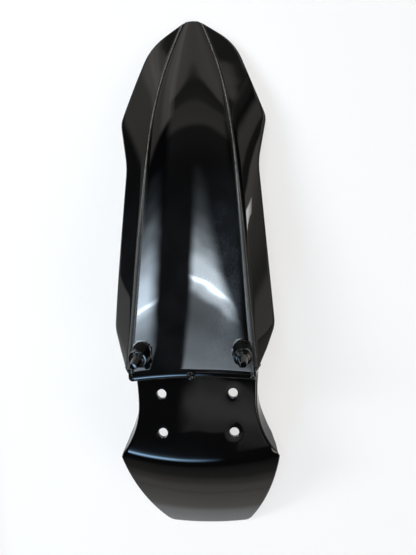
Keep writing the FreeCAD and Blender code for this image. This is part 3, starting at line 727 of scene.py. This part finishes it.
def apply_boolean(piece, name, form, operation):
    """Adds a form to the piece, or cuts it out."""
    tool = new_mesh_object(name, *form)
    change = piece.modifiers.new(name, "BOOLEAN")
    change.operation = operation
    change.solver = "MANIFOLD"
    change.object = tool
    shape = bpy.data.meshes.new_from_object(piece.evaluated_get(bpy.context.evaluated_depsgraph_get()))
    piece.modifiers.clear()
    piece.data = shape
    bpy.data.objects.remove(tool)


def smooth_but_for_corners(piece):
    """Welds and triangulates the mesh, drops faces that fold together and smooths all but sharp edges."""
    shape = bmesh.new()
    shape.from_mesh(piece.data)
    bmesh.ops.remove_doubles(shape, verts=shape.verts, dist=WELD)
    bmesh.ops.triangulate(shape, faces=shape.faces)
    on_points = {}
    for face in shape.faces:
        on_points.setdefault(frozenset(face.verts), []).append(face)
    folded = [face for faces in on_points.values() if len(faces) > 1 for face in faces]
    bmesh.ops.delete(shape, geom=folded, context="FACES")
    bmesh.ops.recalc_face_normals(shape, faces=shape.faces)
    for face in shape.faces:
        face.smooth = True
    for edge in shape.edges:
        edge.smooth = edge.calc_face_angle(0.0) < SHARP
    shape.to_mesh(piece.data)
    shape.free()


def add_ridge_marks(piece):
    """Marks for the material which points lie on the ridge lines, partly wear and partly painted highlight,
    on matt beads and on the upper skin.
    """
    points = np.array([vertex.co for vertex in piece.data.vertices]) / MM
    x, y, z = points.T
    on_skin = np.abs(z - skin(x, y)) < SKIN_NEAR
    off = np.abs(np.abs(x) - ridge_x(y))
    rear = np.clip((RIDGE_LINE_SPLIT_Y - y) / RIDGE_LINE_SPLIT_RUN, 0, 1)
    half = RIDGE_LINE_HALF + (RIDGE_LINE_SPLIT_HALF - RIDGE_LINE_HALF) * rear
    line = np.exp(-((off - RIDGE_LINE_SPLIT * rear) / half) ** 2)
    marked = on_skin & (y > RIDGE_LINE_START_Y)
    # The ridge lines, lighter to the front: partly wear, partly painted highlight
    wear_and_highlight = np.where(marked, line * (1 - RIDGE_LINE_FADE * rear), 0.0)
    matt = np.where(marked, rear * np.exp(-(off / MATT_HALF) ** 4), 0.0)
    for name, values in (("wear_and_highlight", wear_and_highlight), ("matt", matt), ("upper", on_skin)):
        layer = piece.data.attributes.new(name, "FLOAT", "POINT")
        layer.data.foreach_set("value", values.astype(np.float32))


def build_fender():
    """The whole moulding in its place in the frame, still without its material."""
    piece = new_mesh_object("fender_moulding", *shell_mesh())
    apply_boolean(piece, "raised", raised_forms(), "UNION")
    apply_boolean(piece, "sunk", sunk_forms(), "DIFFERENCE")
    smooth_but_for_corners(piece)
    add_ridge_marks(piece)
    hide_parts("fender")
    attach(piece, "root")
    return piece


def noise(nodes, links, place, scale, detail, stretch=(1, 1, 1)):
    """Soft random spots over the part's own coordinates."""
    stretched = nodes.new("ShaderNodeMapping")
    stretched.inputs["Scale"].default_value = stretch
    links.new(place, stretched.inputs["Vector"])
    spots = nodes.new("ShaderNodeTexNoise")
    spots.inputs["Scale"].default_value = scale
    spots.inputs["Detail"].default_value = detail
    links.new(stretched.outputs["Vector"], spots.inputs["Vector"])
    return spots.outputs["Fac"]


def mapped(nodes, links, value, low, high, to_low, to_high):
    """The value carried smoothly from one range to another."""
    node = nodes.new("ShaderNodeMapRange")
    node.interpolation_type = "SMOOTHSTEP"
    node.inputs["From Min"].default_value = low
    node.inputs["From Max"].default_value = high
    node.inputs["To Min"].default_value = to_low
    node.inputs["To Max"].default_value = to_high
    links.new(value, node.inputs["Value"])
    return node.outputs["Result"]


def joined(nodes, links, operation, one, two):
    """Two values, or a value and a number, put together by one step of arithmetic."""
    node = nodes.new("ShaderNodeMath")
    node.operation = operation
    links.new(one, node.inputs[0])
    if isinstance(two, float):
        node.inputs[1].default_value = two
    else:
        links.new(two, node.inputs[1])
    return node.outputs["Value"]


def product(nodes, links, first, *others):
    """The values multiplied together."""
    for other in others:
        first = joined(nodes, links, "MULTIPLY", first, other)
    return first


def mixed(nodes, links, share, one, two):
    """Two colours, each a constant or another node's output, mixed by a share."""
    node = nodes.new("ShaderNodeMixRGB")
    links.new(share, node.inputs["Fac"])
    for name, colour in (("Color1", one), ("Color2", two)):
        if isinstance(colour, bpy.types.NodeSocket):
            links.new(colour, node.inputs[name])
        else:
            node.inputs[name].default_value = colour
    return node.outputs["Color"]


def ramp(nodes, links, value, stops):
    """The value read off a smooth ramp of these greys at these places."""
    node = nodes.new("ShaderNodeValToRGB")
    node.color_ramp.interpolation = "EASE"
    elements = node.color_ramp.elements
    while len(elements) < len(stops):
        elements.new(0.5)
    for element, (place, grey) in zip(elements, stops):
        element.position = place
        element.color = (grey, grey, grey, 1)
    links.new(value, node.inputs["Fac"])
    return node.outputs["Color"]


def attribute(nodes, name):
    """What add_ridge_marks has marked under this name."""
    node = nodes.new("ShaderNodeAttribute")
    node.attribute_name = name
    return node.outputs["Fac"]


def along_axes(nodes, links, vector):
    """The X, Y and Z shares of a vector."""
    node = nodes.new("ShaderNodeSeparateXYZ")
    links.new(vector, node.inputs["Vector"])
    return [node.outputs[axis] for axis in "XYZ"]


def gloss_black():
    """Gloss black plastic: ridge lines of wear and painted highlight, a faint haze on the channel lightened
    by a painted sheen, and a slightly wavy skin.
    """
    material = bpy.data.materials.new("gloss_black_plastic")
    material.use_nodes = True
    nodes, links = material.node_tree.nodes, material.node_tree.links
    shader = nodes["Principled BSDF"]
    place = nodes.new("ShaderNodeTexCoord").outputs["Object"]
    x, y, _ = along_axes(nodes, links, place)

    behind = mapped(nodes, links, y, *HAZE_AND_GLINT_FRONT, 1.0, 0.0)
    ahead = mapped(nodes, links, y, *HAZE_AND_GLINT_REAR, 0.0, 1.0)
    from_left = mapped(nodes, links, x, *HAZE_AND_GLINT_LEFT, HAZE_AND_GLINT_LEFT_SHARE, 1.0)
    to_right = mapped(nodes, links, x, *HAZE_AND_GLINT_RIGHT, 1.0, 0.0)
    patches = mapped(nodes, links, noise(nodes, links, place, *PATCHES), *PATCH_RANGE)
    specks = mapped(nodes, links, noise(nodes, links, place, *SPECKS), *SPECK_RANGE)
    upper = attribute(nodes, "upper")
    # Mask of the haze and scuffs, which carry a painted sheen of the sky
    haze_and_glint = product(nodes, links, behind, ahead, from_left, to_right, upper, patches, specks)

    breaks = mapped(nodes, links, noise(nodes, links, place, *BREAKS), *BREAK_RANGE)
    # Painted highlight, partly wear: the ridge lines take a light beige over the black
    wear_and_highlight = product(nodes, links, attribute(nodes, "wear_and_highlight"), breaks)
    # Painted sheen: the hazed part of the channel takes a lighter, bluer black
    black = mixed(nodes, links, haze_and_glint, BLACK, HAZE_AND_GLINT_BLACK)
    links.new(mixed(nodes, links, wear_and_highlight, black, WORN_AND_HIGHLIGHT), shader.inputs["Base Color"])

    rough = mapped(nodes, links, noise(nodes, links, place, *SHEEN), *SHEEN_RANGE)
    matt = attribute(nodes, "matt")
    for share, added in ((haze_and_glint, HAZE_ROUGH), (wear_and_highlight, RIDGE_LINE_ROUGH), (matt, MATT_ROUGH)):
        rough = joined(nodes, links, "ADD", rough, product(nodes, links, share, added))
    links.new(rough, shader.inputs["Roughness"])

    wave = nodes.new("ShaderNodeBump")
    wave.inputs["Strength"].default_value = 1.0
    wave.inputs["Distance"].default_value = WAVE_HEIGHT
    links.new(noise(nodes, links, place, *WAVES), wave.inputs["Height"])
    links.new(wave.outputs["Normal"], shader.inputs["Normal"])
    return material


def pale_floor():
    """The floor's material: rays that see it find a share of white, and the rest of it takes the shadow."""
    material = bpy.data.materials.new("pale_floor")
    material.use_nodes = True
    nodes, links = material.node_tree.nodes, material.node_tree.links
    place = along_axes(nodes, links, nodes.new("ShaderNodeTexCoord").outputs["Object"])
    inside = []
    for value, half, fade in zip(place, PAPER_HALF, PAPER_FADE):
        away = nodes.new("ShaderNodeMath")
        away.operation = "ABSOLUTE"
        links.new(value, away.inputs[0])
        inside.append(mapped(nodes, links, away.outputs["Value"], half, half + fade, 1.0, 0.0))
    paper = product(nodes, links, *inside)

    rays = nodes.new("ShaderNodeLightPath")
    seen = rays.outputs["Is Camera Ray"]
    for kind in ("Is Glossy Ray", "Is Transmission Ray"):
        seen = joined(nodes, links, "MAXIMUM", seen, rays.outputs[kind])
    rear = mapped(nodes, links, place[1], *FLOOR_REAR_Y, FLOOR_REAR, FLOOR_FAR)
    white = joined(nodes, links, "MAXIMUM", product(nodes, links, paper, PAPER_WHITE), rear)

    shader = nodes["Principled BSDF"]
    shader.inputs["Roughness"].default_value = FLOOR_ROUGH
    grey = [FLOOR_GREY * share for share in FLOOR_TINT]
    links.new(mixed(nodes, links, paper, grey, PAPER), shader.inputs["Base Color"])
    glow = nodes.new("ShaderNodeEmission")
    glow.inputs["Strength"].default_value = 1.0
    links.new(mixed(nodes, links, paper, FLOOR_TINT, WHITE), glow.inputs["Color"])
    mix = nodes.new("ShaderNodeMixShader")
    links.new(product(nodes, links, seen, white), mix.inputs["Fac"])
    links.new(shader.outputs["BSDF"], mix.inputs[1])
    links.new(glow.outputs["Emission"], mix.inputs[2])
    links.new(mix.outputs["Shader"], nodes["Material Output"].inputs["Surface"])
    return material


def add_floor():
    """A pale floor just below the part, white around it."""
    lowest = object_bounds()[0][2]
    bpy.ops.mesh.primitive_plane_add(size=FLOOR_SIZE, location=(*PAPER_MIDDLE, lowest - FLOOR_GAP))
    floor = bpy.context.object
    floor.name = "floor"
    floor.data.materials.append(pale_floor())


def add_camera():
    """The photograph's camera, found from the part's own points."""
    camera = bpy.data.objects.new("camera", bpy.data.cameras.new("camera"))
    bpy.context.scene.collection.objects.link(camera)
    turn = Matrix.Identity(3)
    for axis, degrees in CAMERA_TURNS:
        turn = turn @ Matrix.Rotation(math.radians(degrees), 3, axis)
    camera.matrix_world = Matrix.Translation(Vector(CAMERA_PLACE) * MM) @ turn.transposed().to_4x4()
    camera.data.sensor_fit = "AUTO"
    camera.data.sensor_width = SENSOR
    camera.data.lens = SENSOR * FOCAL_PIXELS / IMAGE_HEIGHT
    camera.data.shift_x = (IMAGE_WIDTH / 2 - CENTRE_PIXEL[0] - 0.5) / IMAGE_HEIGHT
    camera.data.shift_y = (CENTRE_PIXEL[1] + 0.5 - IMAGE_HEIGHT / 2) / IMAGE_HEIGHT
    camera.data.clip_start = CAMERA_NEAREST
    bpy.context.scene.camera = camera


def add_lamp(name, place, size, radiance, colour, along, left, edge, lean=0.0, soft=0.0, aim=None, turn=0.0):
    """A soft lamp, uneven from back to front, with a soft left edge and a slanted, soft right one.

    Without an aim it shines straight down.
    """
    light = bpy.data.lights.new(name, "AREA")
    light.shape = "RECTANGLE"
    light.size, light.size_y = size
    light.energy = radiance * math.pi * size[0] * size[1]
    light.color = colour
    light.use_nodes = True
    nodes, links = light.node_tree.nodes, light.node_tree.links
    x, y, _ = along_axes(nodes, links, nodes.new("ShaderNodeNewGeometry").outputs["Parametric"])
    slanted = joined(nodes, links, "ADD", x, product(nodes, links, y, lean))
    wider = product(nodes, links, y, soft)
    to_left = joined(nodes, links, "DIVIDE", x, joined(nodes, links, "ADD", wider, left))
    room_left = product(nodes, links, joined(nodes, links, "SUBTRACT", slanted, edge[1]), -1.0)
    edge_width = joined(nodes, links, "ADD", wider, edge[1] - edge[0])
    to_right = joined(nodes, links, "DIVIDE", room_left, edge_width)
    inside = [mapped(nodes, links, way, 0.0, 1.0, 0.0, 1.0) for way in (to_left, to_right)]
    strength = product(nodes, links, ramp(nodes, links, y, along), product(nodes, links, *inside))
    links.new(strength, nodes["Emission"].inputs["Strength"])
    lamp = bpy.data.objects.new(name, light)
    lamp.location = place
    lamp.rotation_euler = (0, 0, math.radians(turn))
    if aim is not None:
        lamp.rotation_euler = (Vector(aim) - Vector(place)).to_track_quat("-Z", "Y").to_euler()
    bpy.context.scene.collection.objects.link(lamp)


def add_world():
    """A dim room: a pale wall ahead and behind, uneven walls beside it and a dark ceiling."""
    world = bpy.data.worlds.new("studio")
    bpy.context.scene.world = world
    world.use_nodes = True
    nodes, links = world.node_tree.nodes, world.node_tree.links
    x, y, z = along_axes(nodes, links, nodes.new("ShaderNodeTexCoord").outputs["Generated"])
    angle = joined(nodes, links, "ARCTAN2", joined(nodes, links, "MAXIMUM", z, 0.0), y)
    turn = joined(nodes, links, "DIVIDE", angle, math.pi)
    width = nodes.new("ShaderNodeMapRange")
    width.inputs["From Min"].default_value = -1.0
    links.new(x, width.inputs["Value"])
    across = width.outputs["Result"]
    low = mapped(nodes, links, z, *WORLD_SIDES_TOP, 1.0, 0.0)
    ahead = mapped(nodes, links, y, *WORLD_SIDES_BACK, 0.0, 1.0)
    around = ramp(nodes, links, turn, WORLD_ROUND)
    room = product(nodes, links, around, ramp(nodes, links, across, WORLD_REACH))
    walls = product(nodes, links, ramp(nodes, links, across, WORLD_SIDES), product(nodes, links, low, ahead))
    nodes["Background"].inputs["Color"].default_value = WORLD_TINT
    links.new(joined(nodes, links, "ADD", room, walls), nodes["Background"].inputs["Strength"])


fender = build_fender()
fender.data.materials.clear()
fender.data.materials.append(gloss_black())
add_floor()
add_camera()
add_world()
for lamp in LAMPS:
    add_lamp(**lamp)
bpy.context.scene.view_settings.view_transform = "Standard"
